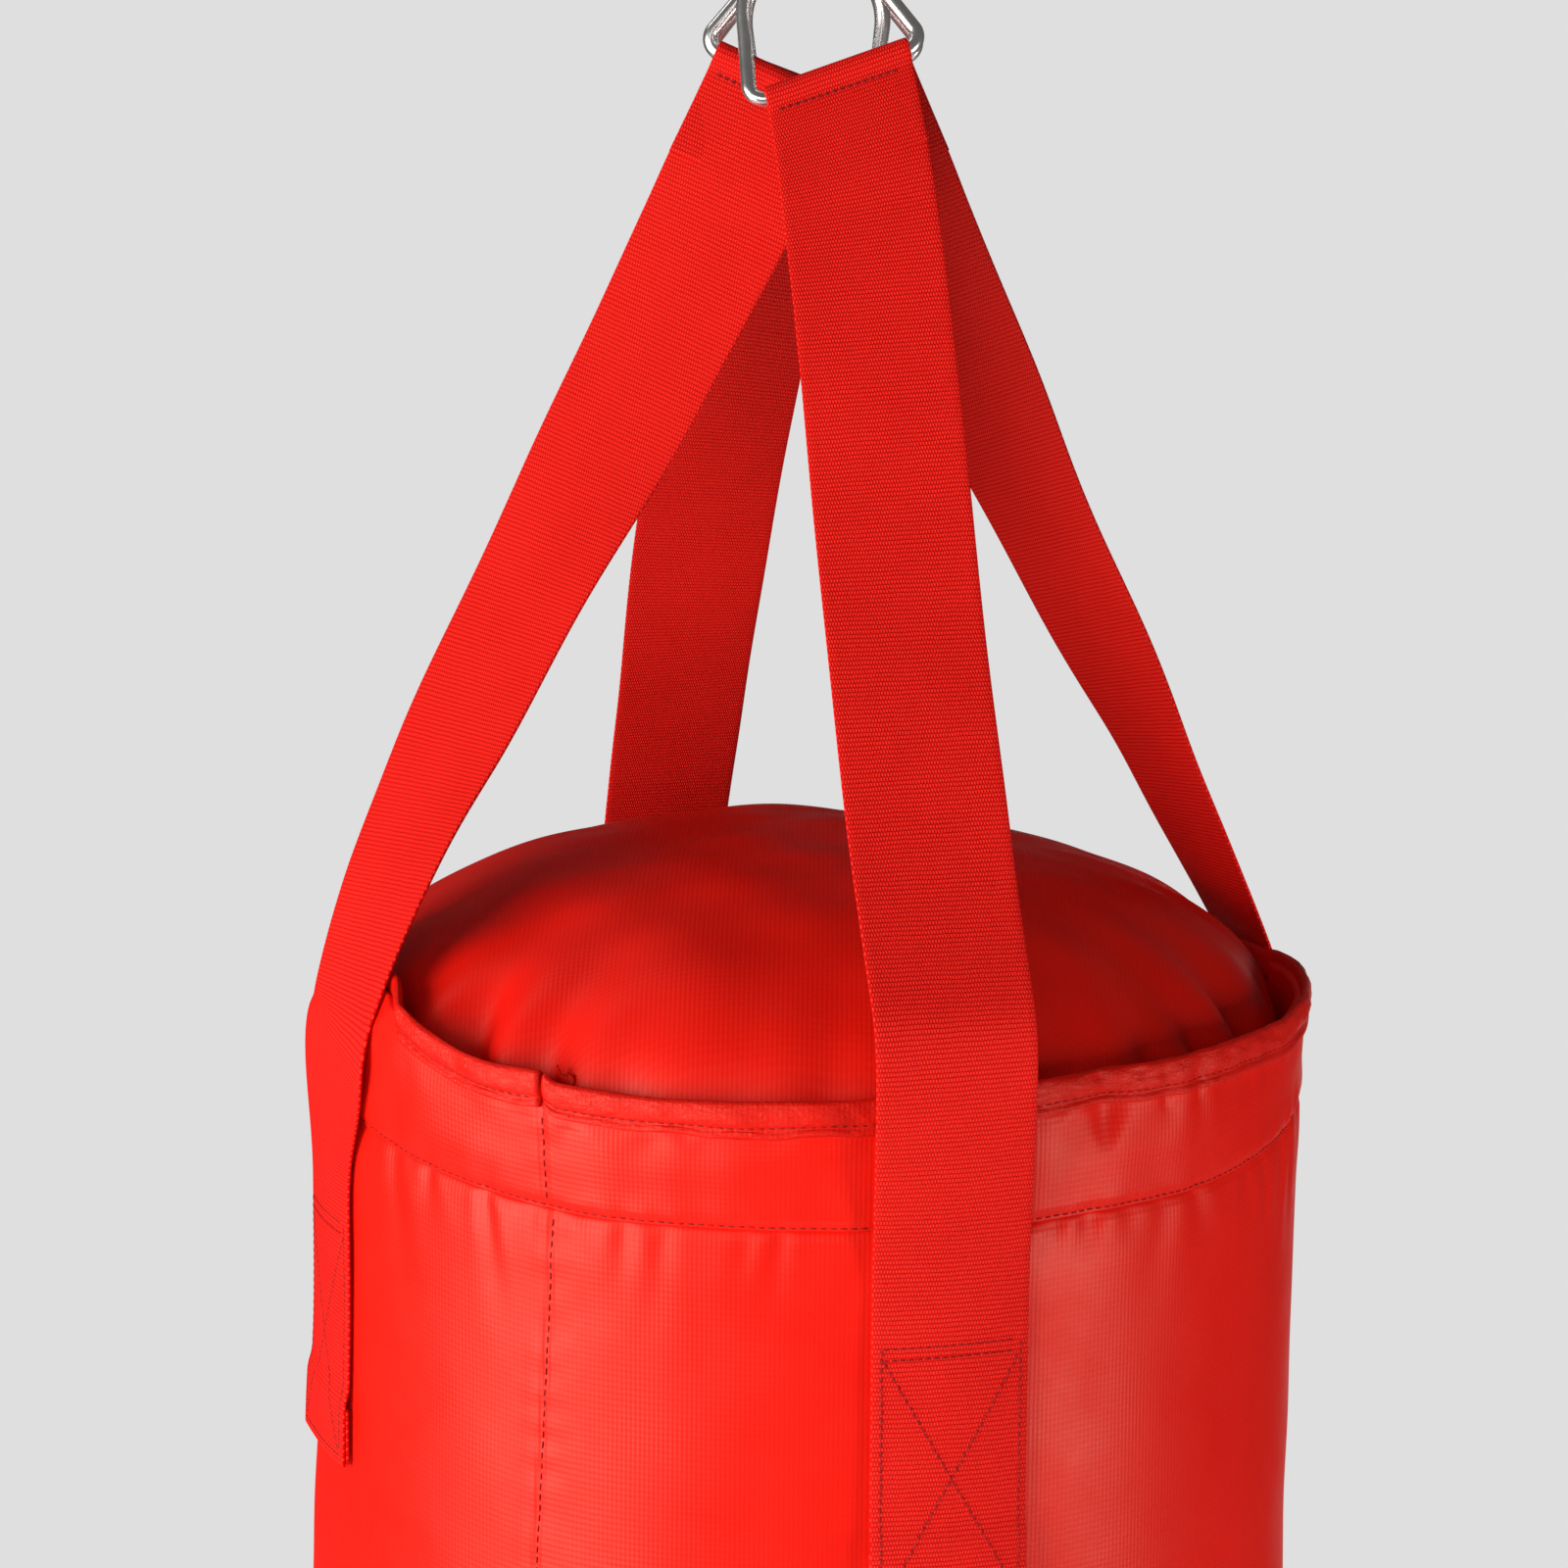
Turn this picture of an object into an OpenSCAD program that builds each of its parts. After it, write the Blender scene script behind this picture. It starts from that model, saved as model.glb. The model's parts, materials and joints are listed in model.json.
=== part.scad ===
// Hanging heavy bag on four webbing straps, with D-rings, snap hook and swivel.
// Millimetres. +Z is up and -Y is the front.
// The origin is the centre of the swivel's upper bore, from which the bag hangs towards -Z.

/* [Bag] */
// Outside radius of the bag's wall
bag_radius = 170; // [140:1:200]
// Height from the rim down to the base
bag_height = 900; // [600:10:1200]
// Thickness of the coated cloth
cloth = 1.6; // [1:0.1:3]
// Thickness of the foam lining
lining_thick = 10; // [5:1:20]
// Height of the collar that stands above the lid's seam
collar_height = 44; // [30:1:60]
// Depth of the bound hem on the rim
hem = 12; // [8:1:20]
// Height of the stuffed lid above the rim
dome_rise = 57; // [20:1:80]

/* [Straps] */
// Width of the webbing
strap_width = 50; // [38:1:60]
// Thickness of one layer of webbing
strap_thick = 1.3; // [1.2:0.1:3]
// Bearing of the front strap, from -Y towards +X
front_bearing = 15.5; // [0:0.5:45]
// Bearing of the left strap
left_bearing = -69; // [-100:0.5:-50]
// Bearing of the back strap
back_bearing = 199.5; // [170:0.5:220]
// Bearing of the right strap
right_bearing = 112; // [80:0.5:130]
// Distance from the rim down to the strap's end
strap_drop = 162; // [120:2:200]
// Height of the hook's lower bow above the rim
gather_height = 340; // [250:5:450]
// Height of the box stitching
box_height = 80; // [50:1:90]

/* [D-rings] */
// Wire radius
ring_wire = 2.5; // [2:0.25:4]
// Half of the straight bar
ring_half_bar = 24; // [20:0.5:30]
// Corner radius of the wire's centre line
ring_corner = 5; // [4:0.5:8]
// Radius of the crown's centre line
ring_crown = 23; // [18:1:28]
// Height of the crown's centre line above the bar
ring_height = 46; // [38:1:55]
// Place of the outer pair along the bow
outer_ring_y = 14.5; // [13:0.5:18]
// Place of the inner pair along the bow
inner_ring_y = 4.5; // [4:0.5:6]
// Forward lean of the outer pair
outer_lean = 20; // [0:1:30]
// Forward lean of the inner pair
inner_lean = 6; // [0:1:15]
// Sideways roll of the outer pair
outer_roll = 21; // [0:1:30]
// Sideways roll of the inner pair
inner_roll = 24; // [0:1:30]

/* [Snap hook] */
// Wire radius of the hook
hook_wire = 4.5; // [3.5:0.25:6]
// Half of the straight lower bow
bow_half = 19; // [16:0.5:24]
// Corner radius of the lower bow
bow_corner = 10; // [8:1:14]
// Height of the hook between its wire centres
hook_height = 86; // [70:1:110]
// Radius of the gate
gate_radius = 4; // [3:0.25:5]

/* [Swivel] */
// Radius of the upper bore
bore_radius = 8; // [5:0.5:12]
// Outside radius of the upper eye
eye_radius = 16; // [12:0.5:22]
// Width of the upper eye along the bore
eye_width = 10; // [8:0.5:16]
// Radius of the turning stud
stud_radius = 4.2; // [3:0.1:6]
// Centre-line radius of the lower eye
link_eye = 13; // [11:0.5:18]
// Corner radius of the lower eye's straight bottom
link_corner = 8; // [6:0.5:10]

/* [Hidden] */
$fn = 64;
link_eye_z = -62.5;
pivot_z = link_eye_z - link_eye;
link_half = link_eye - link_corner;
link_drop = link_eye - link_corner;
hook_top_z = pivot_z + 2 * hook_wire + 0.3;
gather_z = hook_top_z - hook_height;
rim_z = gather_z - gather_height;
base_z = rim_z - bag_height;
seam_z = rim_z - collar_height;
hook_side = bow_half + bow_corner;
gate_pivot = 15;
window_top = -18;
web_top = -34;
web_bottom = -42;
dome_knuckle = 60;
dome_radius = bag_radius - 5;
dome_level = -20;
knuckle_x = dome_radius - dome_knuckle;
dome_drop = dome_rise - dome_level;
crown_radius = (dome_drop * dome_drop + knuckle_x * knuckle_x - dome_knuckle * dome_knuckle)
    / (2 * (dome_drop - dome_knuckle));
loop_bore = ring_wire + 0.3;
loop_radius = loop_bore + strap_thick;
body_gap = 0.15;
strap_run = bag_radius + body_gap + strap_thick / 2;
corner_out = bag_radius + 6.5;
corner_up = 28;
bend_arm = 60;
settle_drop = 75;
box_top = strap_drop - box_height - 4;
thread = 0.8;
seam_bearing = -27;
red = [0.84, 0.1, 0.07];
web_red = [0.78, 0.07, 0.06];
dark_red = [0.5, 0.03, 0.03];
steel = [0.75, 0.76, 0.78];

// Which piece to draw, or all

// ---------- vectors ----------
function turn_x(v, a) = [v[0], v[1] * cos(a) - v[2] * sin(a), v[1] * sin(a) + v[2] * cos(a)];
function turn_y(v, a) = [v[0] * cos(a) + v[2] * sin(a), v[1], -v[0] * sin(a) + v[2] * cos(a)];
function unit(v) = v / norm(v);
function flip(p) = [-p[0], p[1]];
function outward(bearing) = [sin(bearing), -cos(bearing), 0];
function along_rim(bearing) = [cos(bearing), sin(bearing), 0];
function mix(a, b, t) = a * (1 - t) + b * t;
function bend(a, b, c, t) = a * (1 - t) * (1 - t) + b * 2 * t * (1 - t) + c * t * t;

// ---------- D-ring placing: y along the bow, lean about X, roll about Y ----------
function hang(lean) = (ring_wire + hook_wire + 0.6) / cos(lean);
function bar_centre(y, lean, roll) = [0, y, gather_z]
    + turn_x([0, 0, hang(lean) - ring_crown] + turn_y([0, 0, ring_crown - ring_height], roll), lean);
function bar_way(lean, roll) = turn_x(turn_y([1, 0, 0], roll), lean);

module at_bar(y, lean, roll) {
    translate(bar_centre(y, lean, roll))
        rotate([lean, 0, 0])
            rotate([0, roll, 0])
                children();
}

// ---------- bent wire in a plane ----------
module arc_wire(centre, radius, from, sweep, wire) {
    translate([centre[0], centre[1], 0])
        rotate([0, 0, from])
            rotate_extrude(angle = sweep)
                translate([radius, 0])
                    circle(r = wire, $fn = 32);
}

module line_wire(from, to, wire) {
    way = to - from;
    translate([from[0], from[1], 0])
        rotate([0, 0, atan2(way[1], way[0])])
            rotate([0, 90, 0])
                cylinder(h = norm(way), r = wire, $fn = 32);
}

// ---------- webbing as a swept strip ----------
// A station is [centre, way across, way out, thickness, share of the bag's roundness].
function strip_point(s, side, width, u) = s[0] + s[1] * u * width
    + s[2] * (side * s[3] / 2 - s[4] * u * u * width * width / (2 * bag_radius));

module strip(stations, width, across = 6) {
    n = len(stations);
    ring = 2 * (across + 1);
    points = [for (s = stations, k = [0 : ring - 1])
        strip_point(s, k <= across ? 1 : -1, width,
            (k <= across ? k : ring - 1 - k) / across - 0.5)];
    sides = [for (i = [0 : n - 2], k = [0 : ring - 1])
        let (a = i * ring + k, b = i * ring + (k + 1) % ring)
            each [[a, b, a + ring], [b, b + ring, a + ring]]];
    ends = [for (k = [0 : across - 1])
        let (a = k, b = ring - 1 - k, far = (n - 1) * ring)
            each [[a, b, a + 1], [a + 1, b, b - 1],
                [far + a, far + a + 1, far + b], [far + a + 1, far + b - 1, far + b]]];
    polyhedron(points = points, faces = concat(sides, ends), convexity = 4);
}

function strap_stations(top, bar, bearing) =
    let (out = outward(bearing),
        rim_way = along_rim(bearing),
        corner = out * corner_out + [0, 0, rim_z + corner_up],
        down = unit(corner - top),
        start = top + down * (ring_wire + strap_thick * 0.9),
        bend_in = corner - down * bend_arm,
        bend_out = corner - [0, 0, bend_arm],
        settled = out * strap_run + [0, 0, rim_z - settle_drop],
        finish = out * strap_run + [0, 0, rim_z - strap_drop])
    concat(
        [for (i = [0 : 10])
            let (t = i / 10, way = unit(mix(bar, rim_way, t * 0.8)))
                [mix(start, bend_in, t), way, unit(cross(down, way)),
                    i < 2 ? 2 * strap_thick : strap_thick, 0]],
        [for (i = [1 : 8])
            let (t = i / 8, way = unit(mix(bar, rim_way, 0.8 + 0.2 * t)),
                line = unit(mix(down, [0, 0, -1], t)))
                [bend(bend_in, corner, bend_out, t), way, unit(cross(line, way)), strap_thick, t]],
        [for (i = [1 : 3]) [mix(bend_out, settled, i / 3), rim_way, out, strap_thick, 1]],
        [[finish, rim_way, out, strap_thick, 1]]);

module strap(y, lean, roll, bearing) {
    top = bar_centre(y, lean, roll);
    bar = bar_way(lean, roll);
    color(web_red)
        difference() {
            union() {
                strip(strap_stations(top, bar, bearing), strap_width);
                at_bar(y, lean, roll)
                    rotate([0, 90, 0])
                        cylinder(h = strap_width, r = loop_radius, center = true, $fn = 48);
            }
            at_bar(y, lean, roll)
                rotate([0, 90, 0])
                    cylinder(h = strap_width + 4, r = loop_bore, center = true, $fn = 48);
        }
}

module d_ring(y, lean, roll) {
    // the leg's outward normal is where the corner and the crown share a tangent
    drop = ring_height - ring_crown - ring_corner;
    reach = norm([ring_half_bar, drop]);
    slope = acos((ring_crown - ring_corner) / reach) - atan2(drop, ring_half_bar);
    away = [cos(slope), sin(slope)];
    low = [ring_half_bar, ring_corner];
    high = [0, ring_height - ring_crown];
    color(steel)
        at_bar(y, lean, roll)
            rotate([90, 0, 0]) {
                line_wire([-ring_half_bar, 0], [ring_half_bar, 0], ring_wire);
                arc_wire(low, ring_corner, -90, 90 + slope, ring_wire);
                line_wire(low + away * ring_corner, high + away * ring_crown, ring_wire);
                arc_wire(high, ring_crown, slope, 180 - 2 * slope, ring_wire);
                line_wire(flip(high + away * ring_crown), flip(low + away * ring_corner), ring_wire);
                arc_wire(flip(low), ring_corner, 180 - slope, 90 + slope, ring_wire);
            }
}

module ring_front() {
    d_ring(-outer_ring_y, -outer_lean, -outer_roll);
}

module ring_left() {
    d_ring(-inner_ring_y, -inner_lean, inner_roll);
}

module ring_back() {
    rotate([0, 0, 180]) ring_front();
}

module ring_right() {
    rotate([0, 0, 180]) ring_left();
}

module strap_front() {
    strap(-outer_ring_y, -outer_lean, -outer_roll, front_bearing);
}

module strap_left() {
    strap(-inner_ring_y, -inner_lean, inner_roll, left_bearing);
}

module strap_back() {
    rotate([0, 0, 180]) strap(-outer_ring_y, -outer_lean, -outer_roll, back_bearing - 180);
}

module strap_right() {
    rotate([0, 0, 180]) strap(-inner_ring_y, -inner_lean, inner_roll, right_bearing - 180);
}

// ---------- box stitching on the strap ends ----------
module thread_line(bearing, from, to) {
    reach = strap_run + strap_thick / 2 + thread / 2 + 0.08;
    steps = from[0] == to[0] ? 1 : 7;
    stations = [for (i = [0 : steps])
        let (p = mix(from, to, i / steps), spot = bearing + p[0] / reach * 180 / PI)
            [outward(spot) * reach + [0, 0, rim_z - p[1]], unit(along_rim(spot) * (to[1] - from[1])
                + [0, 0, to[0] - from[0]]), outward(spot), thread, 0]];
    strip(stations, thread, 1);
}

module box_stitch(bearing) {
    half = strap_width / 2 - 3;
    low = box_top + box_height;
    for (side = [-1, 1]) {
        thread_line(bearing, [side * half, box_top], [side * half, low]);
        thread_line(bearing, [side * (half - 0.9), box_top + 4.5], [-side * (half - 0.9), low - 0.8]);
    }
    for (z = [box_top, box_top + 3.5, low])
        thread_line(bearing, [half + 0.3, z], [-half - 0.3, z]);
}

module strap_stitching() {
    color(dark_red)
        for (bearing = [front_bearing, left_bearing, back_bearing, right_bearing])
            box_stitch(bearing);
}

// ---------- bag ----------
module tube(outer, inner, low, high) {
    translate([0, 0, low])
        difference() {
            cylinder(h = high - low, r = outer, $fn = 128);
            translate([0, 0, -1])
                cylinder(h = high - low + 2, r = inner, $fn = 128);
        }
}

// the hem folds over the collar's edge, and its two ends lap at the seam
module rim_binding() {
    inside = bag_radius - 2 * cloth;
    color(red) {
        tube(bag_radius + cloth, bag_radius + 0.05, rim_z - hem, rim_z);
        tube(bag_radius - cloth - 0.05, inside, rim_z - hem, rim_z);
        tube(bag_radius + 0.1, bag_radius - cloth - 0.1, rim_z - 1.5, rim_z);
        rotate([0, 0, seam_bearing - 90])
            rotate_extrude(angle = 5, $fn = 128)
                translate([bag_radius - cloth, rim_z - 0.5])
                    square([2 * cloth, 6.5]);
    }
}

module collar() {
    color(red)
        tube(bag_radius, bag_radius - cloth, seam_z, rim_z - 1.55);
}

module shell() {
    color(red)
        tube(bag_radius, bag_radius - cloth, base_z, seam_z - 0.05);
}

module seam_stitching() {
    color(dark_red) {
        for (z = [seam_z + 3, seam_z - 2])
            tube(bag_radius + 0.12, bag_radius + 0.02, z - 0.4, z + 0.4);
        tube(bag_radius + cloth + 0.5, bag_radius + cloth + 0.05, rim_z - hem + 2, rim_z - hem + 2.8);
        rotate([0, 0, seam_bearing - 90])
            translate([bag_radius + 0.3, 0, (seam_z + base_z) / 2])
                cube([0.5, 0.8, seam_z - base_z - 40], center = true);
    }
}

module dome_outline(inset) {
    intersection() {
        union() {
            intersection() {
                translate([0, dome_rise - crown_radius])
                    circle(r = crown_radius - inset, $fn = 256);
                translate([0, dome_level])
                    square([knuckle_x * crown_radius / (crown_radius - dome_knuckle),
                        dome_drop + 5]);
            }
            translate([knuckle_x, dome_level])
                circle(r = dome_knuckle - inset, $fn = 128);
            translate([0, -collar_height])
                square([dome_radius - inset, collar_height + dome_level]);
        }
        translate([0, -collar_height])
            square([dome_radius + 5, 200]);
    }
}

module dome_lid() {
    color(red)
        translate([0, 0, rim_z])
            rotate_extrude($fn = 128)
                difference() {
                    union() {
                        dome_outline(0);
                        translate([dome_radius - 2, -collar_height])
                            square([bag_radius - cloth - 0.1 - dome_radius + 2, cloth]);
                    }
                    dome_outline(cloth);
                }
}

module lining() {
    color([0.35, 0.35, 0.36])
        tube(bag_radius - cloth - 0.2, bag_radius - cloth - lining_thick, base_z + 2.4, seam_z - 0.3);
}

module filling() {
    core = bag_radius - cloth - lining_thick - 0.3;
    color([0.6, 0.57, 0.5]) {
        translate([0, 0, base_z + 2.4])
            cylinder(h = seam_z - 0.3 - base_z - 2.4, r = core, $fn = 128);
        translate([0, 0, rim_z])
            rotate_extrude($fn = 128)
                intersection() {
                    dome_outline(cloth + 0.3);
                    translate([0, -collar_height - 1])
                        square([300, 200]);
                }
        translate([0, 0, seam_z - 0.4])
            cylinder(h = 0.6, r = core, $fn = 128);
    }
}

module base_panel() {
    color(red)
        translate([0, 0, base_z + 0.1])
            cylinder(h = 2, r = bag_radius - cloth - 0.1, $fn = 128);
}

module base_binding() {
    color(red) {
        tube(bag_radius + cloth, bag_radius + 0.05, base_z - cloth, base_z + 14);
        tube(bag_radius + cloth, bag_radius - 14, base_z - cloth, base_z);
    }
}

// ---------- snap hook ----------
module hook_plane() {
    translate([0, 0, gather_z])
        rotate([90, 0, 90])
            children();
}

module hook_body() {
    crown = hook_height - hook_side;
    color(steel)
        hook_plane()
            difference() {
                union() {
                    line_wire([-bow_half, 0], [bow_half, 0], hook_wire);
                    arc_wire([bow_half, bow_corner], bow_corner, -90, 90, hook_wire);
                    line_wire([hook_side, bow_corner], [hook_side, crown], hook_wire);
                    arc_wire([0, crown], hook_side, 0, 180, hook_wire);
                    line_wire([-hook_side, crown - 5], [-hook_side, crown], hook_wire);
                    arc_wire([-bow_half, bow_corner], bow_corner, 180, 90, hook_wire);
                    line_wire([-hook_side, bow_corner], [-hook_side, gate_pivot + 3.5], hook_wire);
                }
                translate([-hook_side - 6, gate_pivot - 4.3, -1.8])
                    cube([12, 10, 3.6]);
                translate([-hook_side, gate_pivot, -6])
                    cylinder(h = 12, r = 1.4, $fn = 32);
            }
}

module hook_gate() {
    tip = hook_height - hook_side - 5.4;
    color(steel)
        hook_plane()
            difference() {
                union() {
                    line_wire([-hook_side, gate_pivot + 5.5], [-hook_side, tip], gate_radius);
                    translate([-hook_side, gate_pivot, -1.6])
                        cylinder(h = 3.2, r = 3.6, $fn = 32);
                    translate([-hook_side - 3, gate_pivot, -1.6])
                        cube([6, 6.5, 3.2]);
                }
                translate([-hook_side, gate_pivot, -6])
                    cylinder(h = 12, r = 1.5, $fn = 32);
            }
}

module gate_rivet() {
    color(steel)
        hook_plane()
            translate([-hook_side, gate_pivot, 0]) {
                cylinder(h = 2 * hook_wire, r = 1.4, center = true, $fn = 32);
                for (side = [-1, 1])
                    translate([0, 0, side * (hook_wire + 0.45)])
                        cylinder(h = 0.9, r = 2.3, center = true, $fn = 32);
            }
}

// ---------- swivel ----------
module swivel_eye() {
    half = 16;
    depth = 14;
    color(steel)
        difference() {
            union() {
                rotate([90, 0, 0])
                    cylinder(h = eye_width, r = eye_radius, center = true);
                translate([0, depth / 2, 0])
                    rotate([90, 0, 0])
                        linear_extrude(height = depth) {
                            translate([-half, web_bottom + 5])
                                square([2 * half, -12 - web_bottom - 9]);
                            translate([-half + 5, web_bottom])
                                square([2 * half - 10, -11 - web_bottom]);
                            for (side = [-1, 1]) {
                                translate([side * (half - 5), web_bottom + 5])
                                    circle(r = 5);
                                translate([side * (half - 5), -16])
                                    circle(r = 5);
                            }
                        }
            }
            rotate([90, 0, 0])
                cylinder(h = 40, r = bore_radius, center = true);
            for (side = [-1, 1])
                translate([0, side * (eye_width / 2 + 10), 0])
                    rotate([90, 0, 0])
                        cylinder(h = 20, r = eye_radius - 3.5, center = true);
            translate([-11, -20, web_top])
                cube([22, 40, window_top - web_top]);
            translate([0, 0, web_bottom - 1])
                cylinder(h = web_top - web_bottom + 2, r = stud_radius + 0.1);
        }
}

module swivel_link() {
    color(steel) {
        translate([0, 0, -50])
            cylinder(h = 23.5, r = stud_radius);
        translate([0, 0, -48])
            cylinder(h = 5.7, r = 8.5);
        translate([0, 0, link_eye_z])
            rotate([90, 0, 0]) {
                arc_wire([0, 0], link_eye, 0, 180, hook_wire);
                arc_wire([link_half, -link_drop], link_corner, -90, 90, hook_wire);
                arc_wire([-link_half, -link_drop], link_corner, 180, 90, hook_wire);
                line_wire([-link_half, -link_eye], [link_half, -link_eye], hook_wire);
                for (side = [-1, 1])
                    line_wire([side * link_eye, -link_drop], [side * link_eye, 0], hook_wire);
            }
    }
}

module swivel_washer() {
    color(steel)
        translate([0, 0, web_top + 0.05])
            difference() {
                cylinder(h = 1.4, r = 8);
                translate([0, 0, -1])
                    cylinder(h = 4, r = stud_radius + 0.1);
            }
}

module swivel_nut() {
    color(steel)
        translate([0, 0, web_top + 1.5])
            difference() {
                cylinder(h = 5, r = 8, $fn = 6);
                translate([0, 0, -1])
                    cylinder(h = 7, r = stud_radius);
            }
}

swivel_eye();
swivel_link();
swivel_washer();
swivel_nut();
hook_body();
hook_gate();
gate_rivet();
ring_front();
ring_left();
ring_back();
ring_right();
strap_front();
strap_left();
strap_back();
strap_right();
strap_stitching();
rim_binding();
collar();
seam_stitching();
dome_lid();
shell();
lining();
filling();
base_panel();
base_binding();
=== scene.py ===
import json
import math

import bmesh
import bpy
import numpy as np
from mathutils import Matrix, Vector


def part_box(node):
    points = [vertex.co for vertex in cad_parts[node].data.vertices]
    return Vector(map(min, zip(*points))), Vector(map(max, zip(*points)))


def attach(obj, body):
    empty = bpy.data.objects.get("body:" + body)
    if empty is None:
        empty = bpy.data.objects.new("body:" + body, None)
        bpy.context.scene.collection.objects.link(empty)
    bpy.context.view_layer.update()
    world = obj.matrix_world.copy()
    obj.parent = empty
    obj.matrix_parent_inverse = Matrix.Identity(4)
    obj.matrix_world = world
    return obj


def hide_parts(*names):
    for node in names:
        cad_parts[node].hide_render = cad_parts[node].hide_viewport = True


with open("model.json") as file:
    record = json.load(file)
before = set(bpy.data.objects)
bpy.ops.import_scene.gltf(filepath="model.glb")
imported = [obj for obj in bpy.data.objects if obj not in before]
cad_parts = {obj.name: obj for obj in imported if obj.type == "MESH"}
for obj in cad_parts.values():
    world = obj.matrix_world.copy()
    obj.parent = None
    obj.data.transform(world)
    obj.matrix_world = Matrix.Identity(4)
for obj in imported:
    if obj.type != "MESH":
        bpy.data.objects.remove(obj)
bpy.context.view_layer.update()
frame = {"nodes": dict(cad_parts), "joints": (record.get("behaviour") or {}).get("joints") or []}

# ---------------------------------------------------------------- sizes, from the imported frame
SHELL_LOW, SHELL_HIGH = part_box("shell")
R = SHELL_HIGH[0]
BASE = SHELL_LOW[2]
SEAM = SHELL_HIGH[2]
HEM_OVER_COLLAR = 0.00155
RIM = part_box("collar")[1][2] + HEM_OVER_COLLAR
COLLAR = RIM - SEAM
# bearings round the bag, in degrees from the front (-Y) towards +X
STRAP_AT = {"front": 15.5, "left": -69.0, "back": 199.5, "right": 112.0}
SEAM_AT = math.radians(-27.4)
STRAP_WIDTH = 0.050
STRAP_THICK = 0.0013
RING_WIRE = 0.0025  # radius of the ring's wire
OFF_COVER = 0.0010  # air between a strap and the cover it lies on
TURNED_UNDER = 0.018  # webbing folded back at the sewn end
LAP_OUT, LAP_RUN = 0.0009, 0.020  # how far the hem's outer end stands out, and over what length
PIVOT = {j["name"]: j for j in frame["joints"]}


# ---------------------------------------------------------------- camera, world, lights, floor
def look_at(obj, target):
    way = Vector(target) - obj.location
    obj.rotation_euler = way.to_track_quat("-Z", "Y").to_euler()


def make_camera():
    """The photograph's view: in front, from a little above the rim and looking slightly down."""
    data = bpy.data.cameras.new("camera")
    data.lens = 80.69
    data.sensor_width = 36.0
    data.clip_end = 60
    cam = bpy.data.objects.new("camera", data)
    bpy.context.collection.objects.link(cam)
    pitch, yaw, roll = (math.radians(a) for a in (8.24, 0.67, 0.39))
    level = Matrix.Rotation(yaw, 4, "Z") @ Matrix.Rotation(math.pi / 2 - pitch, 4, "X")
    turn = level @ Matrix.Rotation(roll, 4, "Z")
    cam.matrix_world = Matrix.Translation((0.0058, -1.1963, RIM + 0.2407)) @ turn
    bpy.context.scene.camera = cam


def make_world():
    """A flat grey behind everything, and a much weaker glow for what the world lights."""
    world = bpy.data.worlds.new("studio")
    bpy.context.scene.world = world
    world.use_nodes = True
    tree = world.node_tree
    tree.nodes.clear()
    out = tree.nodes.new("ShaderNodeOutputWorld")
    seen = tree.nodes.new("ShaderNodeBackground")
    glow = tree.nodes.new("ShaderNodeBackground")
    path = tree.nodes.new("ShaderNodeLightPath")
    mix = tree.nodes.new("ShaderNodeMixShader")
    seen.inputs["Color"].default_value = (0.738, 0.738, 0.738, 1)
    glow.inputs["Color"].default_value = (0.060, 0.057, 0.055, 1)
    tree.links.new(path.outputs["Is Camera Ray"], mix.inputs[0])
    tree.links.new(glow.outputs[0], mix.inputs[1])
    tree.links.new(seen.outputs[0], mix.inputs[2])
    tree.links.new(mix.outputs[0], out.inputs["Surface"])


def area_light(name, place, target, size, power, colour):
    data = bpy.data.lights.new(name, "AREA")
    data.shape = "RECTANGLE"
    data.size, data.size_y = size
    data.energy = power
    data.color = colour
    light = bpy.data.objects.new(name, data)
    bpy.context.collection.objects.link(light)
    light.location = place
    look_at(light, target)
    light.visible_camera = False


def make_lights():
    warm = (1.0, 0.955, 0.91)
    # the key stands at the front left, level with the rim
    area_light("key", (-1.30, -0.98, RIM - 0.04), (0, 0, RIM - 0.10), (1.10, 1.35), 38.5, warm)
    area_light("side", (1.56, -0.90, RIM - 0.42), (0, 0, RIM - 0.3), (0.45, 1.0), 15, warm)
    area_light("front", (-0.35, -2.2, RIM + 0.45), (0, 0, RIM + 0.1), (0.8, 0.8), 6.5, warm)
    area_light("top", (-0.78, 0.18, RIM + 1.242), (0, 0, RIM + 0.3), (0.5, 0.5), 1.3, warm)
    area_light("back", (0.4, 2.4, RIM - 0.7), (0, 0, RIM - 0.6), (1.6, 1.4), 5, warm)


def make_floor():
    """A pale disc under the hanging bag."""
    count, radius, low = 96, 2.3, BASE - 0.28
    turns = [2 * math.pi * i / count for i in range(count)]
    verts = [(radius * math.cos(a), radius * math.sin(a), low) for a in turns]
    mesh = bpy.data.meshes.new("floor")
    mesh.from_pydata(verts, [], [tuple(range(count))])
    floor = bpy.data.objects.new("floor", mesh)
    bpy.context.collection.objects.link(floor)
    mat = bpy.data.materials.new("floor")
    mat.use_nodes = True
    shader = mat.node_tree.nodes["Principled BSDF"]
    shader.inputs["Base Color"].default_value = (0.72, 0.72, 0.72, 1)
    shader.inputs["Roughness"].default_value = 0.8
    mesh.materials.append(mat)


make_camera()
make_world()
make_lights()
make_floor()
bpy.context.scene.view_settings.view_transform = "Standard"
bpy.context.scene.view_settings.look = "None"


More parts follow.
